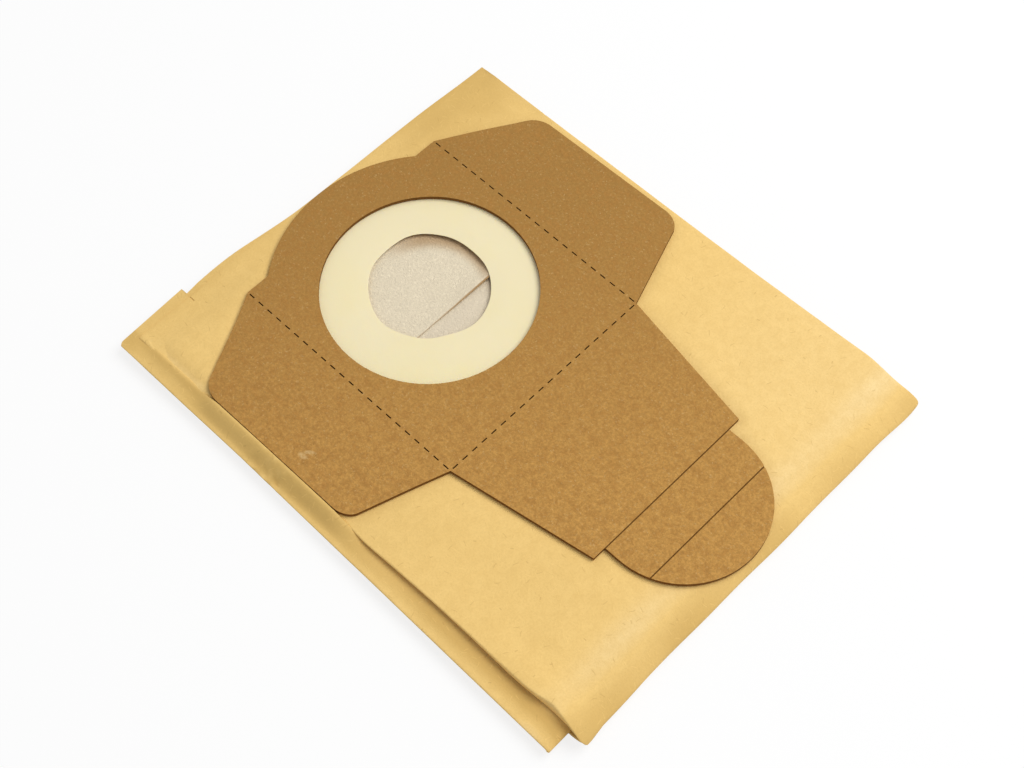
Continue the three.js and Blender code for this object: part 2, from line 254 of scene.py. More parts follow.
def ripples(place, across, lengths, turns):
    """Sum of sine waves, each with its own length and direction, between about -1 and 1."""
    total = 0.0
    for count, (length, turn) in enumerate(zip(lengths, turns)):
        along = place * math.cos(turn) + across * math.sin(turn)
        wobble = 0.9 * np.sin((across - place) / (length * 1.7) + count)
        total = total + np.sin(2 * math.pi * along / length + 1.7 * count + wobble)
    return total / len(lengths)


def collar_outline():
    """Corners of the card collar in plan: arcs of circles for head and tab, mirrored."""
    start = math.acos(SHOULDER[0] / HEAD_RADIUS)
    head = np.linspace(math.pi, start, 14)
    tab = np.linspace(math.pi / 2, 0.0, 14)
    side = np.concatenate([
        np.column_stack([np.cos(head), np.sin(head)]) * HEAD_RADIUS,
        np.array([SHOULDER, *WING, *PANEL]),
        np.column_stack([np.cos(tab), np.sin(tab)]) * TAB_RADIUS + [TAB_CENTRE, 0.0],
    ])
    return np.concatenate([side, side[-2:0:-1] * [1.0, -1.0]])


def beyond_collar(place, across):
    """Distance from the collar's outline in plan, and zero on the card.

    The distance is the least one to any side, and a point is inside when a ray from it
    crosses an odd number of sides.
    """
    start = collar_outline()
    end = np.roll(start, -1, axis=0)
    nearest = np.full(place.shape, 1e9)
    inside = np.zeros(place.shape, dtype=bool)
    for (x0, y0), (x1, y1) in zip(start, end):
        run, rise = x1 - x0, y1 - y0
        share = ((place - x0) * run + (across - y0) * rise) / (run * run + rise * rise)
        share = np.clip(share, 0.0, 1.0)
        gap = np.hypot(place - x0 - share * run, across - y0 - share * rise)
        nearest = np.minimum(nearest, gap)
        if rise:
            crossing = (across < y0) != (across < y1)
            inside ^= crossing & (place < x0 + (across - y0) / rise * run)
    return np.where(inside, 0.0, nearest)


def corner_drop(place, across):
    """How far the bag sinks towards the far corners of its glued end, as products of steps."""
    plus = 1.5 * soft_step(across, 52.0, 90.0) * soft_step(-place, -30.0, 60.0)
    minus = 1.9 * soft_step(-across, 36.0, 64.0) * soft_step(-place, 44.0, 63.0)
    return plus + minus


def beside_wing(place):
    """One where the panel's free edge lies along the wing's outer edge, with soft ends."""
    return soft_step(place, -32.0, -20.0) * (1.0 - soft_step(place, 40.0, 62.0))


def before_wing(place, low=-34.0, high=-22.0):
    """One between the glued end and the near wing, and zero from the wing on."""
    return 1.0 - soft_step(place, low, high)


def wing_sink(place, across):
    """Share by which the bag and the card on it sink towards the near wing's outer edge."""
    ends = soft_step(place, -52.0, -30.0) * (1.0 - soft_step(place, 52.0, 74.0))
    return ends * soft_step(-across, 60.0, WING_EDGE)


def shift_edges(place, across, turn, top, high):
    """Moves the long edges of the panels across the bag by soft bells and steps.

    The free edge of the top panel curls in near the fold, the strip below it runs straight.
    """
    under = soft_step(-np.sin(turn), 0.2, 1.0)
    along = np.clip(place / FOLD_X, 0.0, 1.0)
    lean = 0.2 - 1.6 * hump(place, 35.0, 50.0) - 0.9 * soft_step(place, 90.0, 140.0)
    lean = lean + (0.35 - lean) * beside_wing(place)
    foot = lean + (0.1 - lean) * soft_step(place, 130.0, 150.0)
    foot -= 1.7 * before_wing(place)
    lean = lean + 1.7 * hump(place, BULGE, 6.0) - 1.9 * np.cos(turn)
    share = top * (1.0 - soft_step(-np.sin(turn), -0.9, 0.0))
    lean = (lean * share + foot * (1.0 - share)) * (1.0 - under)
    flare = -2.5 * along + 2.1 * under
    plus = 3.2 * along**2 - 2.1 * soft_step(place, 138.0, 158.0) - 0.4 * under
    across = across + plus * soft_step(across, 60.0, PLUS_EDGE)
    across = across + lean * soft_step(-across, 60.0, -MINUS_EDGE) * high
    return across + flare * soft_step(-across, 80.0, -STRIP_EDGE) * (1.0 - high)


def panel_rise(place, across, gap, ripple, edge_lift, ridge):
    """Rise of the top panel: slow waves, a soft bank round the card and the lifted free edge."""
    waves = ripples(place, across, (31.0, 47.0, 19.0, 70.0), (0.4, 1.9, 2.7, 1.1))
    facing = 0.3 + 0.7 * soft_step(np.maximum(across, -place - 25.0), -30.0, 10.0)
    bank = (1.0 - hump(gap, 0.0, 2.2)) * (0.3 + 0.7 * hump(gap, 0.0, 13.0)) * facing
    inner = soft_step(PLUS_EDGE - across, 0.0, 9.0) * soft_step(across - MINUS_EDGE, 0.0, 7.0)
    inner *= soft_step(place - TUBE_END, 0.0, 12.0)
    inner *= soft_step(FOLD_X + 2.0 - place, 0.0, 26.0)
    rise = 0.2 + ridge * bank * (1.0 + 0.5 * waves) * inner
    rise -= 0.5 * (1.0 - facing) * hump(gap, 0.0, 4.0)
    rise += ripple * soft_step(gap, 2.0, 16.0) * (waves - 0.2)
    rise -= 0.25 * soft_step(place, 132.0, FOLD_X) * hump(across, 0.0, 90.0)
    rise += edge_lift * hump(across, MINUS_EDGE + 1.0, 8.0) * soft_step(place, 95.0, 145.0)
    rise -= 1.1 * hump(across, MINUS_EDGE - 0.5, 3.2) * before_wing(place, -38.0, -24.0)
    pucker = hump(place, -55.0, 3.0) * hump(across, -36.0, 4.0)
    pucker += hump(place, -58.0, 2.4) * hump(across, -46.0, 5.0)
    return rise - 0.3 * pucker


def strip_rise(place, across):
    """Rise of the strip below the panel's free edge: soft banks up to it and a few creases."""
    bank = 0.7 * (1.0 - soft_step(place, 15.0, 95.0)) * hump(across, -90.5, 4.5)
    beyond = soft_step(-across, 89.3, 90.2)
    swell = (3.1 + 0.4 * hump(place, 14.0, 24.0)) * beside_wing(place)
    bank += swell * beyond * (1.0 - soft_step(-across, 90.5, 97.2))
    bank += 0.7 * before_wing(place) * beyond * (1.0 - soft_step(-across, 90.2, 94.5))
    crease = 0.8 * hump(place, 9.0, 5.0) * np.sin((place - across) * 0.9)
    crease += 0.6 * hump(place, 17.0, 4.0) * np.sin((place + across) * 1.3)
    crease += 0.12 * np.sin(place / 6.3) * np.sin(place / 17.0)
    return bank + crease * soft_step(-across, 90.0, 94.0)


def bag_surface(fullness, ripple, edge_lift, ridge):
    """Middle of the bag's paper as a grid: the section carried along the folded path.

    The fold swings the section's heights through half a turn, its rounding longest for the
    outer plies, and a soft step presses the plies together at the glued end.
    """
    section = bag_section()
    across, height = section[:, 0][None, :], section[:, 1][None, :]
    rank = np.interp(height, (LOW_PLY, LOW_LEAF, HIGH_LEAF, TOP_PLY), (3.0, 2.0, 1.0, 0.0))
    place, turn, ending = bag_path()
    upper = soft_step(np.sin(turn), -0.2, 0.9)
    leaf = (np.abs(rank - 1.5) < 0.6) & (across < -GUSSET_FOLD + 1.0)
    beyond = np.minimum(across, -GUSSET_FOLD - 0.2)
    place = place + (tube_end(np.where(leaf, beyond, across), height) - END_BLEND) * ending
    top = np.clip(1.0 - rank, 0.0, 1.0)
    across = shift_edges(place, across + 0.0 * place, turn, top, np.clip(2.0 - rank, 0.0, 1.0))

    gap = beyond_collar(place, across)
    reach = (HALF_GAP / 2 + height) * (1.0 - WING_SINK * upper * wing_sink(place, across))
    reach += top * upper * panel_rise(place, across, gap, ripple, edge_lift, ridge)
    reach += upper * hump(rank, 2.0, 0.5) * strip_rise(place, across)
    low_leaf = 0.7 * soft_step(place, 120.0, 150.0)
    low_leaf += 0.5 * hump(across, -90.5, 4.5) * before_wing(place, -38.0, -24.0)
    reach -= low_leaf * upper * hump(rank, 1.0, 0.6)
    full = np.clip(reach, 0.1, MIDDLE + 0.4)
    stretch = fullness * np.sqrt(full / MIDDLE) * full
    stretch += 0.6 * soft_step(-across, 55.0, 80.0) * np.clip(2.0 - rank, 0.0, 1.0)
    free = soft_step(-across, 84.0, 91.0)
    stretch += free * np.interp(rank, (0.0, 1.0, 2.0), (0.1, 0.8, 0.7))
    stretch += (0.6 + 0.5 * hump(across, 84.0, 9.0)) * np.clip(2.0 - rank, 0.0, 1.0)
    stretch += 0.25 * np.sin(across / 9.0) * np.sin(across / 23.0 + 1.0)
    point_x = place + stretch * np.cos(turn)
    blunt = 1.0 - 0.55 * hump(across, 96.0, 8.0)
    point_z = MIDDLE + reach * np.sign(turn) * np.abs(np.sin(turn)) ** blunt

    press = soft_step(-place, 52.0, 63.0)
    plies = rank / 3.0 * PRESSED_PLY * (1.0 + 2.0 * soft_step(np.abs(across), 58.0, GUSSET_FOLD))
    stack = np.where(upper > 0.5, BAG_HEIGHT - LOW_PLY - plies, LOW_PLY + plies)
    point_z = point_z * (1.0 - press) + stack * press
    point_z = point_z - upper * corner_drop(place, across) * np.maximum(top, press)
    corner = hump(across, PLUS_EDGE + 3.4, 5.0) * soft_step(point_x, FOLD_X - 4.0, FOLD_X + 8.0)
    return np.stack([point_x - 0.5 * corner, across, point_z], axis=-1), section


def bag_shade_and_tone(points, section):
    """How dark the paper is painted, as soft bells: tan on the pressed ends, painted shade on the
    strip, towards one far corner and along the fold's rounding.

    Below zero it is paler: painted highlights along two ridges and painted light towards the fold
    end.
    """
    place, across = points[..., 0], points[..., 1]
    tone = 0.34 * soft_step(-place, 60.0, 66.5)
    # Painted shade: darker towards the far corner of the glued end, where the light falls off.
    tone += 0.7 * soft_step(-place, 14.0, 58.0) * soft_step(across, 10.0, 70.0)
    # Painted shade: a little darker towards the glued end.
    tone += 0.06 * soft_step(-place, 30.0, 60.0)
    # Painted shade: the strip is tan under the panel's overhang and paler towards its outer edge.
    strip = soft_step(-across, 88.0, 92.0) * (section[:, 1][None, :] < 1.8)
    tone += strip * (0.55 + 0.45 * hump(place, 14.0, 36.0)) * soft_step(across, -99.5, -95.0)
    # Painted shadow under the panel's lifted free edge.
    tone += 0.8 * strip * hump(across, -92.5, 2.5) * soft_step(place, 60.0, 110.0)
    # Painted shade along the fold's rounding, with a mottle of soiling.
    tone += 0.95 * soft_step(place, 153.0, 163.0) * (0.8 + 0.2 * np.sin(across / 7.0))
    # Painted light and shade on the strip's creases.
    crease = hump(place, 13.0, 8.0) * np.sin((place - across) * 0.9)
    tone += 0.45 * strip * crease
    # Painted highlight along the low bulge beside the fold.
    tone -= 0.55 * hump(place, BULGE, 5.0) * (0.7 + 0.3 * np.sin(across / 11.0))
    # Painted shade in the valley between the panel's edge and the strip near the glued end.
    left = before_wing(place)
    tone += 0.45 * strip * left * hump(across, -91.2, 1.8)
    # Painted highlight along the ridge of the panel's free edge near the glued end.
    ridge = left * soft_step(place, -67.0, -58.0) * (section[:, 1][None, :] > 3.0)
    tone -= 0.25 * ridge * hump(across, -89.0, 1.2)
    # Painted light: paler towards the fold on the far half of the top panel.
    tone -= 0.22 * soft_step(place, 50.0, 130.0) * soft_step(across, -10.0, 60.0)
    return np.clip(tone, -1.0, 1.0)


def snapped_hole(points, hole_radius, top):
    """Moves the points beside a round hole onto its rim and says which lie inside it."""
    radius = np.hypot(points[..., 0], points[..., 1])
    beside = top & (np.abs(radius - hole_radius) < 1.0)
    factor = np.where(beside, hole_radius / np.maximum(radius, 1.0), 1.0)
    points[..., 0] *= factor
    points[..., 1] *= factor
    return top & (radius < hole_radius - 1.0)


def tissue_waves(place, across):
    """Small waves of the tissue that shows through the inlet, fading outwards by a bell."""
    waves = ripples(place, across, (11.0, 7.3, 17.0), (0.8, 2.2, 1.4))
    return 0.12 * hump(np.hypot(place, across), 0.0, 34.0) * waves


def liner_surface(width, fullness):
    """Middle of the tissue sleeve: a flat oval section carried along the same folded path."""
    half = width / 2
    low = LINER_LOW + LINER_LIFT
    high = TOP_PLY - LOW_PLY - LINER_AIR
    radius = (high - low) / 2
    section = np.concatenate([
        straight(half - radius, -half + radius, high, 1.6),
        turned(-half + radius, high, low, -1, 8),
        straight(-half + radius, half - radius, low, 1.2),
        turned(half - radius, low, high, 1, 8),
    ])
    reach = FOLD_X - LINER_END
    upper = np.linspace(LINER_END, FOLD_X, round(reach / 1.5) + 1)
    place, turn = fold_path(upper, np.linspace(FOLD_X, LINER_END, round(reach / 6.0)), 12)
    across = section[:, 0][None, :] + 0.0 * place
    height = section[:, 1][None, :] + 0.0 * place
    height = height + tissue_waves(place, across) * (turn > 0) * (height < 1.8)
    reach = HALF_GAP / 2 + height
    point_x = place + fullness * np.sqrt(reach / MIDDLE) * reach * np.cos(turn)
    return np.stack([point_x, across, MIDDLE + reach * np.sin(turn)], axis=-1)


def lap_surface(edge, rise, base):
    """The upper sheet of the liner's lap: flat, with its free edge rising towards one side."""
    along = np.concatenate([np.linspace(-46.0, edge - 1.4, 56), edge - LAP_ROWS])[:, None]
    across = np.linspace(-46.0, 46.0, 70)[None, :]
    fade = soft_step(along, edge - 9.0, edge)
    climb = 0.25 + 0.75 * soft_step(across, -14.0, 24.0)
    level = base + tissue_waves(along, across) + rise * fade**1.6 * climb
    slant = 0.35 * np.sin(across / 13.0) * soft_step(along, edge - 6.0, edge)
    return np.stack([along + slant, across + 0.0 * along, level], axis=-1)


def tissue_painted_shade(points, edge, sleeve_count):
    """Painted shade in brown on the tissue: a soft band under the far rim and a dark line along
    the lap's free edge.
    """
    radius = np.hypot(points[:, 0], points[:, 1])
    angle = np.arctan2(points[:, 1], points[:, 0])
    far = soft_step(np.cos(angle - math.radians(112)), 0.3, 0.9)
    tone = 0.75 * soft_step(radius, 19.0, 24.3) * far
    lap = np.arange(len(points)) >= sleeve_count
    line = 0.8 + 0.2 * soft_step(points[:, 1], -12.0, 18.0)
    return np.maximum(tone, lap * line * soft_step(points[:, 0], edge - 0.6, edge - 0.2))


def membrane_rim(angle, radius):
    """The uneven hole: a circle plus a few cosine waves, each with its count, height and turn."""
    for count, height, turn in HOLE_WAVES:
        radius = radius + height * np.cos(count * angle - math.radians(turn))
    return radius


def membrane_surface(hole_radius, outer_radius, sag):
    """A ring whose thin rounded section runs from the uneven hole to the outer circle."""
    angle = np.linspace(0.0, 2 * math.pi, 240, endpoint=False)[:, None]
    flat = np.linspace(0.0, 1.0, 26)
    nose = np.linspace(-math.pi / 2, math.pi / 2, 9)[1:-1]
    share = np.concatenate([flat, np.ones(len(nose)), flat[::-1], np.zeros(len(nose))])[None, :]
    bulge = np.concatenate([0 * flat, np.cos(nose), 0 * flat, -np.cos(nose)])[None, :]
    face = np.concatenate([0 * flat - 1, np.sin(nose), 0 * flat + 1, -np.sin(nose)])[None, :]
    half = (MEMBRANE_HIGH - MEMBRANE_LOW) / 2 * LATEX_SHARE
    rim = membrane_rim(angle, hole_radius)
    centre_x, centre_y = HOLE_CENTRE[0] * (1 - share), HOLE_CENTRE[1] * (1 - share)
    radius = rim + (outer_radius - rim) * share + bulge * half
    thickness = half * (0.55 + 0.45 * soft_step(share, 0.0, 0.25))
    level = (MEMBRANE_LOW + MEMBRANE_HIGH) / 2 + face * thickness
    slack = (1.0 - share) ** 2
    level = level - sag * slack * (0.7 + 0.3 * np.sin(2 * angle + 0.6) + 0.25 * np.sin(3 * angle))
    return np.stack([
        centre_x + radius * np.cos(angle), centre_y + radius * np.sin(angle), level,
    ], axis=-1)


def add_piece(name, points, faces):
    """Puts points, in mm from the inlet's centre line, and faces into a new object."""
    flat = points.reshape(-1, 3) * MM
    flat[:, 0] += INLET.x
    flat[:, 1] += INLET.y
    used, faces = np.unique(faces, return_inverse=True)
    mesh = bpy.data.meshes.new(name)
    mesh.from_pydata(flat[used], [], faces.reshape(-1, 4))
    mesh.validate()
    piece = bpy.data.objects.new(name, mesh)
    bpy.context.scene.collection.objects.link(piece)
    mesh.polygons.foreach_set("use_smooth", np.ones(len(mesh.polygons), dtype=bool))
    return piece, used


def ease_collar(mesh):
    """Moves the board's points by soft steps.

    Its wings sink with the bag under them. Towards the glued end the far wing draws in a
    little, and the near one reaches farther back.
    """
    points = np.empty(len(mesh.vertices) * 3, dtype=np.float32)
    mesh.vertices.foreach_get("co", points)
    points = points.reshape(-1, 3)
    place, across = points[:, 0] / MM - INLET.x / MM, points[:, 1] / MM - INLET.y / MM
    wing = soft_step(across, 52.0, 90.0)
    points[:, 2] -= corner_drop(place, across) * wing * MM
    points[:, 2] -= wing_sink(place, across) * WING_SINK * (TOP_PLY + HALF_GAP / 2) * MM
    points[:, 1] -= 0.9 * wing * soft_step(-place, -45.0, 28.0) * MM
    points[:, 0] -= 1.8 * soft_step(-across, 60.0, 90.0) * soft_step(-place, 5.0, 28.0) * MM
    mesh.vertices.foreach_set("co", points.ravel())
    mesh.update()


def paint_tone(piece, tone):
    """Stores a number at each point, which the material reads as its tone."""
    layer = piece.data.attributes.new("tone", "FLOAT", "POINT")
    layer.data.foreach_set("value", tone.ravel().astype(np.float32))


def thicken(piece, thickness):
    """Gives a sheet its thickness with Solidify, applied, and keeps its cut edges crisp."""
    wall = piece.modifiers.new("Paper thickness", "SOLIDIFY")
    wall.thickness = thickness
    wall.offset = 0.0
    wall.use_even_offset = False
    evaluated = piece.evaluated_get(bpy.context.evaluated_depsgraph_get())
    mesh = bpy.data.meshes.new_from_object(evaluated)
    piece.modifiers.clear()
    piece.data = mesh
    mesh.name = piece.name
    mesh.set_sharp_from_angle(angle=math.radians(SHARP_ANGLE))


# Finishes


def put(tree, kind, values=None, **settings):
    """Adds a node; values go to its sockets by name, or are linked where they are sockets."""
    node = tree.nodes.new(kind)
    for key, value in settings.items():
        setattr(node, key, value)
    for key, value in (values or {}).items():
        if isinstance(value, bpy.types.NodeSocket):
            tree.links.new(value, node.inputs[key])
        else:
            node.inputs[key].default_value = value
    return node


def calc(tree, operation, first, second=0.0):
    """A sum on one or two values, each a socket or a number."""
    return put(tree, "ShaderNodeMath", {0: first, 1: second}, operation=operation).outputs[0]


def blend(tree, share, first, second):
    """Mixes two colours; a colour is a socket or four numbers."""
    return put(tree, "ShaderNodeMix", {0: share, 6: first, 7: second}, data_type="RGBA").outputs[2]


def tint(tree, colour, mask, strength, other):
    """Turns a colour into the other one where the mask is one, as far as strength says."""
    return blend(tree, calc(tree, "MULTIPLY", mask, strength), colour, other)


def between(tree, value, low, high, start=0.0, end=1.0):
    """Start below low, end above high, with a soft step between them."""
    values = {"Value": value, "From Min": low, "From Max": high, "To Min": start, "To Max": end}
    node = put(tree, "ShaderNodeMapRange", values, interpolation_type="SMOOTHSTEP")
    return node.outputs[0]


def grain(tree, coords, size, detail=3.0, roughness=0.55, distortion=0.0):
    """Noise whose coarsest grains are about size mm across."""
    return put(tree, "ShaderNodeTexNoise", {
        "Vector": coords, "Scale": 1.0 / (size * MM), "Detail": detail,
        "Roughness": roughness, "Distortion": distortion,
    }).outputs["Fac"]


def fibres(tree, coords, cell, length, width, share, curve=0.12):
    """Short loose fibres: each cell of a flat Voronoi pattern holds one bent line at random.

    Inside a cell the distance from its point is turned by a random angle, and the fibre is
    where the turned height, less a parabola, is within width and the turned run within length.
    """
    values = {"Vector": coords, "Scale": 1.0 / (cell * MM)}
    dots = put(tree, "ShaderNodeTexVoronoi", values, voronoi_dimensions="2D")
    parts = put(tree, "ShaderNodeSeparateColor", {0: dots.outputs["Color"]})
    offset = put(tree, "ShaderNodeVectorMath",
                 {0: coords, 1: dots.outputs["Position"]}, operation="SUBTRACT")
    angle = calc(tree, "MULTIPLY", parts.outputs[0], 2 * math.pi)
    spun = put(tree, "ShaderNodeVectorRotate",
               {"Vector": offset.outputs[0], "Angle": angle}, rotation_type="Z_AXIS")
    local = put(tree, "ShaderNodeSeparateXYZ", {0: spun.outputs[0]})
    run = calc(tree, "DIVIDE", local.outputs[0], length / 2 * MM)
    bend = calc(tree, "MULTIPLY", parts.outputs[1], curve * length * MM)
    arch = calc(tree, "MULTIPLY", calc(tree, "MULTIPLY", run, run), bend)
    rise = calc(tree, "ABSOLUTE", calc(tree, "SUBTRACT", local.outputs[1], arch))
    thin = between(tree, rise, width * 0.35 * MM, width * 0.75 * MM, 1.0, 0.0)
    ends = between(tree, calc(tree, "ABSOLUTE", run), 0.7, 1.0, 1.0, 0.0)
    some = calc(tree, "LESS_THAN", parts.outputs[2], share)
    return calc(tree, "MULTIPLY", calc(tree, "MULTIPLY", thin, ends), some)


def start_material(name, roughness, gloss=0.2):
    """An empty material with its shader, and the Object coordinates that its patterns use."""
    material = bpy.data.materials.new(name)
    material.use_nodes = True
    tree = material.node_tree
    shader = tree.nodes["Principled BSDF"]
    shader.inputs["Roughness"].default_value = roughness
    shader.inputs["Specular IOR Level"].default_value = gloss
    coords = put(tree, "ShaderNodeTexCoord").outputs["Object"]
    return material, tree, shader, coords


def finish_material(tree, shader, colour, height, distance):
    """Gives the shader its colour, and a relief that is distance mm high."""
    tree.links.new(colour, shader.inputs["Base Color"])
    bump = put(tree, "ShaderNodeBump", {"Height": height, "Distance": distance * MM})
    tree.links.new(bump.outputs[0], shader.inputs["Normal"])


def shade(colour, factor):
    """A colour times a factor, opaque."""
    return tuple(channel * factor for channel in colour[:3]) + (1.0,)


def solid(colour):
    """A colour as it is, opaque."""
    return tuple(colour[:3]) + (1.0,)


def seen_directly(tree):
    """One for rays that show the thing itself, and zero for those that only carry its light."""
    path = put(tree, "ShaderNodeLightPath")
    seen = calc(tree, "MAXIMUM", path.outputs["Is Camera Ray"], path.outputs["Is Glossy Ray"])
    return calc(tree, "MAXIMUM", seen, path.outputs["Is Transmission Ray"])


def kraft_material(sizes):
    """Kraft paper: mottled, with dark and pale fibres in it, tanner where it is pressed, and with
    painted shade and highlights from its tone.
    """
    material, tree, shader, coords = start_material("Kraft paper", 0.72)
    tone = put(tree, "ShaderNodeAttribute", attribute_name="tone").outputs["Fac"]
    cloudy = between(tree, grain(tree, coords, 26.0, 2.0), 0.3, 0.7, -0.12, 0.12)
    # The tone blends in tan: the pressed end's own colour, and painted shade on the strip, the
    # fold and one corner.
    colour = blend(tree, calc(tree, "ADD", tone, cloudy), solid(sizes.colour), solid(sizes.tan))
    # Below zero the tone blends in pale: painted highlights.
    colour = tint(tree, colour, tone, -1.0, solid(sizes.pale))
    patch = between(tree, grain(tree, coords, 4.5, 4.0, 0.65, 0.3), 0.32, 0.7)
    colour = tint(tree, colour, patch, 0.26, shade(sizes.tan, 1.08))
    fine = between(tree, grain(tree, coords, 0.8, 4.0, 0.7), 0.38, 0.7)
    colour = tint(tree, colour, fine, 0.2, shade(sizes.tan, 0.86))
    pale = fibres(tree, coords, 3.7, 2.4, 0.3, 0.6)
    colour = tint(tree, colour, pale, 0.2, shade(sizes.colour, 1.12))
    dark = fibres(tree, coords, 8.3, 2.6, 0.3, 0.4)
    colour = tint(tree, colour, dark, 0.26, solid(sizes.fibre))
    specks = fibres(tree, coords, 11.7, 1.4, 0.4, 0.4, 0.05)
    colour = tint(tree, colour, specks, 0.32, solid(sizes.fibre))
    relief = calc(tree, "ADD", calc(tree, "MULTIPLY", fine, 0.5), patch)
    relief = calc(tree, "ADD", relief, calc(tree, "MULTIPLY", pale, 0.5))
    finish_material(tree, shader, colour, relief, 0.05)
    return material


def tissue_material(sizes):
    """Filter tissue: soft cloudy fibres with a fine crepe, matt."""
    material, tree, shader, coords = start_material("Filter tissue", 0.9)
    cloud = between(tree, grain(tree, coords, 6.0, 4.0, 0.65), 0.3, 0.7)
    colour = blend(tree, cloud, solid(sizes.colour), shade(sizes.colour, 0.94))
    fine = between(tree, grain(tree, coords, 0.9, 5.0, 0.8, 0.5), 0.36, 0.64)
    colour = tint(tree, colour, fine, 0.5, shade(sizes.colour, 0.76))
    threads = fibres(tree, coords, 1.3, 1.1, 0.34, 0.9, 0.3)
    colour = tint(tree, colour, threads, 0.5, solid(sizes.colour))
    place = put(tree, "ShaderNodeSeparateXYZ", {0: coords}).outputs[0]
    beyond = between(tree, place, INLET.x + sizes.lap_edge, INLET.x + sizes.lap_edge + 0.001)
    colour = tint(tree, colour, beyond, 0.55, solid(sizes.under))
    grit = between(tree, grain(tree, coords, 0.5, 3.0, 0.8), 0.38, 0.62)
    colour = tint(tree, colour, grit, 0.45, shade(sizes.under, 0.84))
    # Painted shade in brown: under the membrane's far rim and along the lap's free edge.
    tone = put(tree, "ShaderNodeAttribute", attribute_name="tone").outputs["Fac"]
    colour = tint(tree, colour, tone, 0.85, solid(sizes.brown))
    relief = calc(tree, "ADD", fine, calc(tree, "MULTIPLY", threads, 0.6))
    finish_material(tree, shader, colour, relief, 0.12)
    return material


def latex_material(sizes):
    """Cream latex: smooth and satin, a little yellower to one side, with faint clouds."""
    material, tree, shader, coords = start_material("Cream latex", 0.42, 0.5)
    shader.inputs["Subsurface Weight"].default_value = 0.12
    shader.inputs["Subsurface Radius"].default_value = (0.004, 0.0025, 0.001)
    shader.inputs["Subsurface Scale"].default_value = 0.5
    parts = put(tree, "ShaderNodeSeparateXYZ", {0: coords})
    lean = calc(tree, "SUBTRACT", parts.outputs[0], parts.outputs[1])
    side = between(tree, lean, (INLET.x - INLET.y) - 0.03, (INLET.x - INLET.y) + 0.07)
    cloud = between(tree, grain(tree, coords, 17.0, 2.0), 0.3, 0.7, -0.3, 0.3)
    mix = calc(tree, "ADD", calc(tree, "MULTIPLY", side, 0.5), cloud)
    colour = blend(tree, mix, solid(sizes.colour), solid(sizes.yellow))
    finish_material(tree, shader, colour, grain(tree, coords, 2.4, 2.0), 0.02)
    return material


def scuff(tree, coords, place, across, run, width, turn):
    """A rubbed spot: an ellipse round a place given in mm from the inlet's centre line."""
    centre = Vector((INLET.x + place * MM, INLET.y + across * MM, 0.0))
    moved = put(tree, "ShaderNodeVectorMath", {0: coords, 1: centre}, operation="SUBTRACT")
    spun = put(tree, "ShaderNodeVectorRotate",
               {"Vector": moved.outputs[0], "Angle": math.radians(turn)}, rotation_type="Z_AXIS")
    scale = (1 / (run * MM), 1 / (width * MM), 0.0)
    flat = put(tree, "ShaderNodeVectorMath", {0: spun.outputs[0], 1: scale}, operation="MULTIPLY")
    length = put(tree, "ShaderNodeVectorMath", {0: flat.outputs[0]}, operation="LENGTH")
    return between(tree, length.outputs["Value"], 0.35, 1.0, 1.0, 0.0)


def card_material(sizes):
    """Pulp board: fine brown speckle, loose fibres and two pale scuffs, with painted light that
    brightens it towards the tab, and cut edges and score lines darkened partly by their own colour
    and partly by painted shade.
    """
    material, tree, shader, coords = start_material("Pulp board", 0.85, 0.1)
    parts = put(tree, "ShaderNodeSeparateXYZ", {0: coords})
    # Painted light: lit and shaded copies of the board's colour, brighter towards the tab and the
    # near edge, darker towards the head and far wing.
    lean = calc(tree, "SUBTRACT", parts.outputs[1], parts.outputs[0])
    side = between(tree, lean, -0.12, 0.14)
    colour = blend(tree, side, shade(sizes.colour, 1.28), shade(sizes.colour, 0.86))
    blotch = between(tree, grain(tree, coords, 3.2, 4.0, 0.7, 0.4), 0.4, 0.66)
    colour = tint(tree, colour, blotch, 0.7, solid(sizes.red))
    speckle = between(tree, grain(tree, coords, 1.1, 4.0, 0.8), 0.36, 0.64)
    colour = tint(tree, colour, speckle, 0.55, shade(sizes.colour, 0.66))
    pale = between(tree, grain(tree, coords, 0.95, 3.0, 0.7, 0.3), 0.56, 0.72)
    colour = tint(tree, colour, pale, 0.34, solid(sizes.pale))
    dark = fibres(tree, coords, 2.6, 1.1, 0.24, 0.5)
    colour = tint(tree, colour, dark, 0.3, shade(sizes.colour, 0.5))
    light = fibres(tree, coords, 4.1, 0.9, 0.26, 0.4)
    colour = tint(tree, colour, light, 0.4, solid(sizes.pale))
    rub = calc(tree, "MAXIMUM", *(scuff(tree, coords, *spot) for spot in SCUFFS))
    worn = between(tree, grain(tree, coords, 0.8), 0.3, 0.6, 0.3, 0.8)
    colour = tint(tree, colour, rub, worn, solid(sizes.pale))
    # Cut walls and score-line floors take the dark cut colour: partly the board's own cut edge,
    # partly painted shade on walls and in grooves.
    normal = put(tree, "ShaderNodeTexCoord").outputs["Normal"]
    upright = put(tree, "ShaderNodeSeparateXYZ", {0: normal}).outputs[2]
    cut = between(tree, calc(tree, "ABSOLUTE", upright), 0.3, 0.95, 1.0, 0.0)
    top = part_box("collar_board")[1].z
    deep = between(tree, parts.outputs[2], top - SCORE_DEPTH * MM, top - 0.1 * MM, 1.0, 0.0)
    scored = calc(tree, "GREATER_THAN", parts.outputs[0], INLET.x + SCORES_BEYOND * MM)
    scored = calc(tree, "MULTIPLY", scored, calc(tree, "GREATER_THAN", upright, 0.5))
    cut = calc(tree, "MAXIMUM", cut, calc(tree, "MULTIPLY", deep, scored))
    colour = tint(tree, colour, cut, 0.9, solid(sizes.cut))
    relief = calc(tree, "ADD", speckle, calc(tree, "MULTIPLY", light, 0.5))
    finish_material(tree, shader, colour, relief, 0.06)
    return material


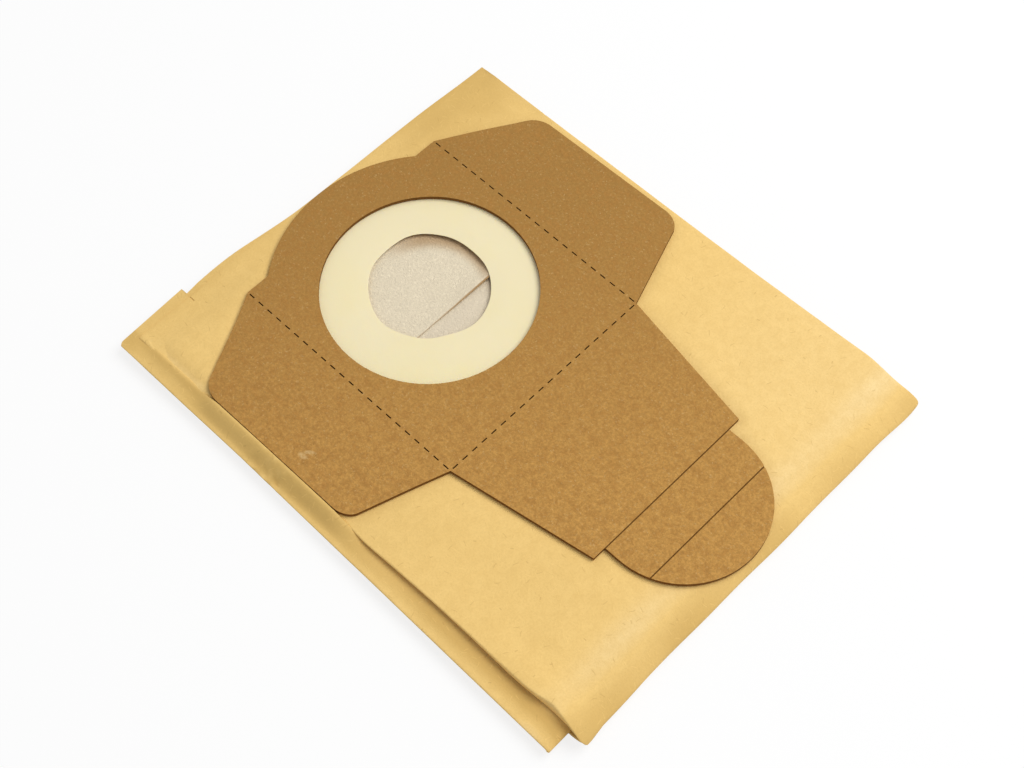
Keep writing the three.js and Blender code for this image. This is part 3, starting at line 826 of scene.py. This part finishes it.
def floor_material(sizes):
    """Pale matt floor that shows white to the camera and keeps a soft shadow."""
    material, tree, shader, _ = start_material("Studio floor", 0.9, 0.0)
    shader.inputs["Base Color"].default_value = solid(sizes.floor)
    seen = seen_directly(tree)
    glow = put(tree, "ShaderNodeEmission", {"Color": (1.0, 1.0, 1.0, 1.0), "Strength": 1.0})
    share = calc(tree, "MULTIPLY", seen, sizes.floor_glow)
    mix = put(tree, "ShaderNodeMixShader", {0: share, 1: shader.outputs[0], 2: glow.outputs[0]})
    tree.links.new(mix.outputs[0], tree.nodes["Material Output"].inputs["Surface"])
    return material


# Settings


def length_property(name, description, default):
    """A length in metres that the panel shows."""
    return bpy.props.FloatProperty(
        name=name, description=description, default=default, unit="LENGTH", precision=5,
    )


def colour_property(name, description, default):
    """A colour that the panel shows."""
    return bpy.props.FloatVectorProperty(
        name=name, description=description, default=default, subtype="COLOR", size=3,
        min=0.0, max=1.0,
    )


class BagSizes(bpy.types.PropertyGroup):
    """Sizes and colours of the paper bag"""

    ply: length_property("Paper", "Thickness of the kraft paper", 0.00025)
    ripple: length_property("Ripple", "Height of the slow waves in the top panel", 0.00022)
    edge_lift: length_property("Edge lift", "Rise of the free edge near the fold", 0.0016)
    fullness: bpy.props.FloatProperty(
        name="Fold fullness", description="Length of the fold's rounding over its height",
        default=2.0,
    )
    ridge: length_property("Ridge", "Rise of the paper beside the card", 0.0008)
    colour: colour_property("Colour", "Bare kraft paper", (0.88, 0.60, 0.215))
    # Tan is also the colour of painted shade on the strip, the fold and one corner.
    tan: colour_property("Tan", "Pressed or glued kraft paper", (0.66, 0.425, 0.13))
    # Pale is a painted highlight along the bulge beside the fold and the ridge near the glued end.
    pale: colour_property("Pale", "Rubbed paper beside the fold", (0.95, 0.72, 0.36))
    fibre: colour_property("Fibre", "Dark fibres in the paper", (0.44, 0.26, 0.075))


class LinerSizes(bpy.types.PropertyGroup):
    """Sizes and colours of the tissue liner"""

    ply: length_property("Tissue", "Thickness of the tissue", 0.00016)
    width: length_property("Width", "Width of the flat sleeve", 0.12)
    lap_edge: length_property("Lap edge", "Distance from the inlet's centre to the lap", 0.0113)
    lap_rise: length_property("Lap rise", "Lift of the lap's free edge", 0.0012)
    colour: colour_property("Colour", "Filter tissue", (1.0, 0.875, 0.645))
    under: colour_property("Under", "Lower sheet beyond the lap", (0.84, 0.72, 0.55))
    # Painted shade: the brown of the band under the membrane's far rim and of the line at the
    # lap's edge.
    brown: colour_property("Brown", "Brown tissue at the lap and rim", (0.40, 0.2, 0.045))


class MembraneSizes(bpy.types.PropertyGroup):
    """Sizes and colours of the sealing membrane"""

    hole: length_property("Hole", "Mean diameter of the uneven hole", 0.0479)
    outer: length_property("Outside", "Diameter of the ring under the card", 0.0958)
    sag: length_property("Sag", "How far the slack rim hangs", 0.0004)
    colour: colour_property("Colour", "Cream latex", (0.88, 0.757, 0.475))
    yellow: colour_property("Yellow", "Yellower latex", (0.885, 0.755, 0.42))


class CollarSizes(bpy.types.PropertyGroup):
    """Sizes and colours of the card collar"""

    edge: length_property("Edge", "Rounding of the die-cut edges", 0.00012)
    corner: length_property("Corner", "Rounding of the wings' corners in plan", 0.0022)
    colour: colour_property("Colour", "Pulp board", (0.47, 0.25, 0.066))
    pale: colour_property("Pale", "Pale flecks and scuffs", (0.66, 0.45, 0.2))
    red: colour_property("Red", "Redder blotches in the board", (0.43, 0.205, 0.05))
    # The cut colour is dark enough to paint the shade on the walls and in the score lines as well.
    cut: colour_property("Cut", "Cut edge of the board", (0.15, 0.062, 0.011))


class StageSizes(bpy.types.PropertyGroup):
    """The camera, the light and the floor"""

    lens: bpy.props.FloatProperty(name="Lens", description="Focal length in mm", default=67.375)
    camera: bpy.props.FloatVectorProperty(
        name="Camera", description="Where the camera stands, from the inlet's centre line",
        default=(0.2980, -0.2612, 0.6302), unit="LENGTH", precision=4,
    )
    key: bpy.props.FloatProperty(name="Key light", description="Strength in watts", default=17.4)
    fill: bpy.props.FloatProperty(
        name="Fill", description="Light of the surroundings", default=0.47,
    )
    floor_glow: bpy.props.FloatProperty(
        name="Floor glow", description="Share of plain white in the floor", default=0.8,
    )
    floor: colour_property("Floor", "Floor under the object", (0.93, 0.93, 0.93))


# Operators


def dress(piece, material, node):
    """Gives a finished piece its material and its body, and hides the imported node that it stands
    for.
    """
    piece.data.materials.clear()
    piece.data.materials.append(material)
    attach(piece, "root")
    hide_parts(node)


class DUSTBAG_OT_bag(bpy.types.Operator):
    """Builds the folded kraft paper bag"""

    bl_idname = "dust_bag.bag"
    bl_label = "Paper bag"

    def execute(self, context):
        sizes = context.scene.dust_bag_bag
        points, section = bag_surface(
            sizes.fullness, sizes.ripple / MM, sizes.edge_lift / MM, sizes.ridge / MM,
        )
        rows, columns = points.shape[:2]
        tone = bag_shade_and_tone(points, section)
        row = np.arange(rows)[:, None]
        upper_rows = row < rows // 2
        top = (section[:, 1][None, :] == TOP_PLY) & upper_rows & (points[..., 2] > BAG_CUT_ABOVE)
        inside = snapped_hole(points, PAPER_HOLE, top)
        faces = grid_faces(rows, columns, around=True)
        gone = inside.ravel()[faces].any(axis=1)
        slit = (section[:, 0] == SLIT_SIDES[0]) | (section[:, 0] == SLIT_SIDES[1])
        slit = (slit[None, :] & (row <= SLIT_ROWS)).ravel()[faces].all(axis=1)
        faces = faces[~(gone | slit)]
        piece, used = add_piece("kraft_bag", points, faces)
        paint_tone(piece, tone.reshape(-1)[used])
        thicken(piece, sizes.ply)
        dress(piece, kraft_material(sizes), "paper_bag")
        return {"FINISHED"}


class DUSTBAG_OT_liner(bpy.types.Operator):
    """Builds the tissue sleeve and its lap"""

    bl_idname = "dust_bag.liner"
    bl_label = "Tissue liner"

    def execute(self, context):
        sizes = context.scene.dust_bag_liner
        fullness = context.scene.dust_bag_bag.fullness
        sleeve = liner_surface(sizes.width / MM, fullness)
        rows, columns = sleeve.shape[:2]
        top = (np.arange(rows)[:, None] < rows * 0.6) & (sleeve[..., 2] > LINER_CUT_ABOVE)
        inside = snapped_hole(sleeve, PAPER_HOLE, top)
        faces = grid_faces(rows, columns, around=True)
        faces = faces[~inside.ravel()[faces].any(axis=1)]
        base = MIDDLE + HALF_GAP / 2 + LINER_LOW + LINER_LIFT + LAP_STEP
        lap = lap_surface(sizes.lap_edge / MM, sizes.lap_rise / MM, base)
        lap_faces = grid_faces(*lap.shape[:2])[:, ::-1] + rows * columns
        points = np.concatenate([sleeve.reshape(-1, 3), lap.reshape(-1, 3)])
        tone = tissue_painted_shade(points, sizes.lap_edge / MM, rows * columns)
        piece, used = add_piece("filter_liner", points, np.concatenate([faces, lap_faces]))
        paint_tone(piece, tone[used])
        thicken(piece, sizes.ply)
        dress(piece, tissue_material(sizes), "tissue_liner")
        return {"FINISHED"}


class DUSTBAG_OT_membrane(bpy.types.Operator):
    """Builds the latex ring that seals round the inlet pipe"""

    bl_idname = "dust_bag.membrane"
    bl_label = "Sealing membrane"

    def execute(self, context):
        sizes = context.scene.dust_bag_membrane
        points = membrane_surface(sizes.hole / MM / 2, sizes.outer / MM / 2, sizes.sag / MM)
        rows, columns = points.shape[:2]
        faces = grid_faces(rows + 1, columns, around=True)[:, ::-1] % (rows * columns)
        piece, _ = add_piece("latex_membrane", points, faces)
        dress(piece, latex_material(sizes), "sealing_membrane")
        return {"FINISHED"}


class DUSTBAG_OT_collar(bpy.types.Operator):
    """Builds the die-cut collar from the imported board, with softened edges"""

    bl_idname = "dust_bag.collar"
    bl_label = "Card collar"

    def execute(self, context):
        sizes = context.scene.dust_bag_collar
        mesh = bpy.data.meshes.new("card_collar")
        form = bmesh.new()
        form.from_mesh(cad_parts["collar_board"].data)
        bmesh.ops.remove_doubles(form, verts=form.verts, dist=MERGE)
        bmesh.ops.dissolve_limit(form, angle_limit=0.01, verts=form.verts, edges=form.edges)
        corners = [
            edge for edge in form.edges
            if abs(edge.verts[0].co.z - edge.verts[1].co.z) > MM
            and abs(edge.verts[0].co.y - INLET.y) > CORNERS_BEYOND * MM
        ]
        bmesh.ops.bevel(
            form, geom=corners, offset=sizes.corner, segments=4, profile=0.5, affect="EDGES",
        )
        for row in BEND_ROWS:
            bmesh.ops.bisect_plane(
                form, geom=form.verts[:] + form.edges[:] + form.faces[:],
                plane_co=(0.0, INLET.y + row * MM, 0.0), plane_no=(0.0, 1.0, 0.0),
            )
        bmesh.ops.dissolve_degenerate(form, dist=MERGE, edges=form.edges)
        form.to_mesh(mesh)
        form.free()
        ease_collar(mesh)
        piece = bpy.data.objects.new("card_collar", mesh)
        context.scene.collection.objects.link(piece)
        soft = piece.modifiers.new("Soft edges", "BEVEL")
        soft.width = sizes.edge
        soft.segments = 2
        soft.limit_method = "ANGLE"
        soft.angle_limit = math.radians(40)
        dress(piece, card_material(sizes), "collar_board")
        return {"FINISHED"}


def place_lamp(name, location, width, energy):
    """A round area lamp that faces the middle of the object."""
    lamp = bpy.data.lights.new(name, "AREA")
    lamp.shape = "DISK"
    lamp.size = width
    lamp.energy = energy
    holder = bpy.data.objects.new(name, lamp)
    holder.location = location
    holder.rotation_mode = "QUATERNION"
    holder.rotation_quaternion = (-Vector(location)).to_track_quat("-Z", "Y")
    bpy.context.scene.collection.objects.link(holder)


class DUSTBAG_OT_stage(bpy.types.Operator):
    """Builds the floor, the lights and the camera"""

    bl_idname = "dust_bag.stage"
    bl_label = "Stage"

    def execute(self, context):
        sizes = context.scene.dust_bag_stage
        turns = np.linspace(0.0, 2 * math.pi, 96, endpoint=False)
        rim = np.stack([np.cos(turns), np.sin(turns), 0.0 * turns], axis=-1) * FLOOR_RADIUS
        rim[:, 2] = -FLOOR_DROP
        mesh = bpy.data.meshes.new("studio_floor")
        mesh.from_pydata(rim, [], [list(range(len(rim)))])
        floor = bpy.data.objects.new("studio_floor", mesh)
        mesh.materials.append(floor_material(sizes))
        context.scene.collection.objects.link(floor)

        place_lamp("key_light", KEY_PLACE, KEY_WIDTH, sizes.key)

        world = bpy.data.worlds.new("studio_light")
        world.use_nodes = True
        tree = world.node_tree
        level = between(tree, seen_directly(tree), 0.0, 1.0, sizes.fill, 1.0)
        sky = tree.nodes["Background"]
        sky.inputs["Color"].default_value = (1.0, 1.0, 1.0, 1.0)
        tree.links.new(level, sky.inputs["Strength"])
        context.scene.world = world

        camera = bpy.data.objects.new("camera", bpy.data.cameras.new("camera"))
        camera.data.lens = sizes.lens
        camera.data.sensor_width = 36.0
        right, up = Vector(CAMERA_RIGHT), Vector(CAMERA_UP)
        turn = Matrix((right, up, right.cross(up))).transposed()
        stand = Vector((INLET.x, INLET.y, 0.0)) + Vector(sizes.camera)
        camera.matrix_world = Matrix.Translation(stand) @ turn.to_4x4()
        context.scene.collection.objects.link(camera)
        context.scene.camera = camera
        context.scene.view_settings.view_transform = "Standard"
        return {"FINISHED"}


class DUSTBAG_PT_panel(bpy.types.Panel):
    """Lists the bag's sizes and colours, and builds its pieces"""

    bl_label = "Dust bag"
    bl_space_type = "VIEW_3D"
    bl_region_type = "UI"
    bl_category = "Dust bag"

    def draw(self, context):
        for name, _, maker in PIECES:
            box = self.layout.box()
            sizes = getattr(context.scene, name)
            for key in sizes.__annotations__:
                box.prop(sizes, key)
            box.operator(maker.bl_idname)


PIECES = (
    ("dust_bag_bag", BagSizes, DUSTBAG_OT_bag),
    ("dust_bag_liner", LinerSizes, DUSTBAG_OT_liner),
    ("dust_bag_membrane", MembraneSizes, DUSTBAG_OT_membrane),
    ("dust_bag_collar", CollarSizes, DUSTBAG_OT_collar),
    ("dust_bag_stage", StageSizes, DUSTBAG_OT_stage),
)


def register():
    """Registers the settings, the operators and the panel."""
    for name, group, maker in PIECES:
        bpy.utils.register_class(group)
        bpy.utils.register_class(maker)
        setattr(bpy.types.Scene, name, bpy.props.PointerProperty(type=group))
    bpy.utils.register_class(DUSTBAG_PT_panel)


def unregister():
    """Takes back what register did."""
    bpy.utils.unregister_class(DUSTBAG_PT_panel)
    for name, group, maker in PIECES:
        delattr(bpy.types.Scene, name)
        bpy.utils.unregister_class(maker)
        bpy.utils.unregister_class(group)


def main():
    register()
    bpy.ops.dust_bag.bag()
    bpy.ops.dust_bag.liner()
    bpy.ops.dust_bag.membrane()
    bpy.ops.dust_bag.collar()
    bpy.ops.dust_bag.stage()


if __name__ == "__main__":
    main()
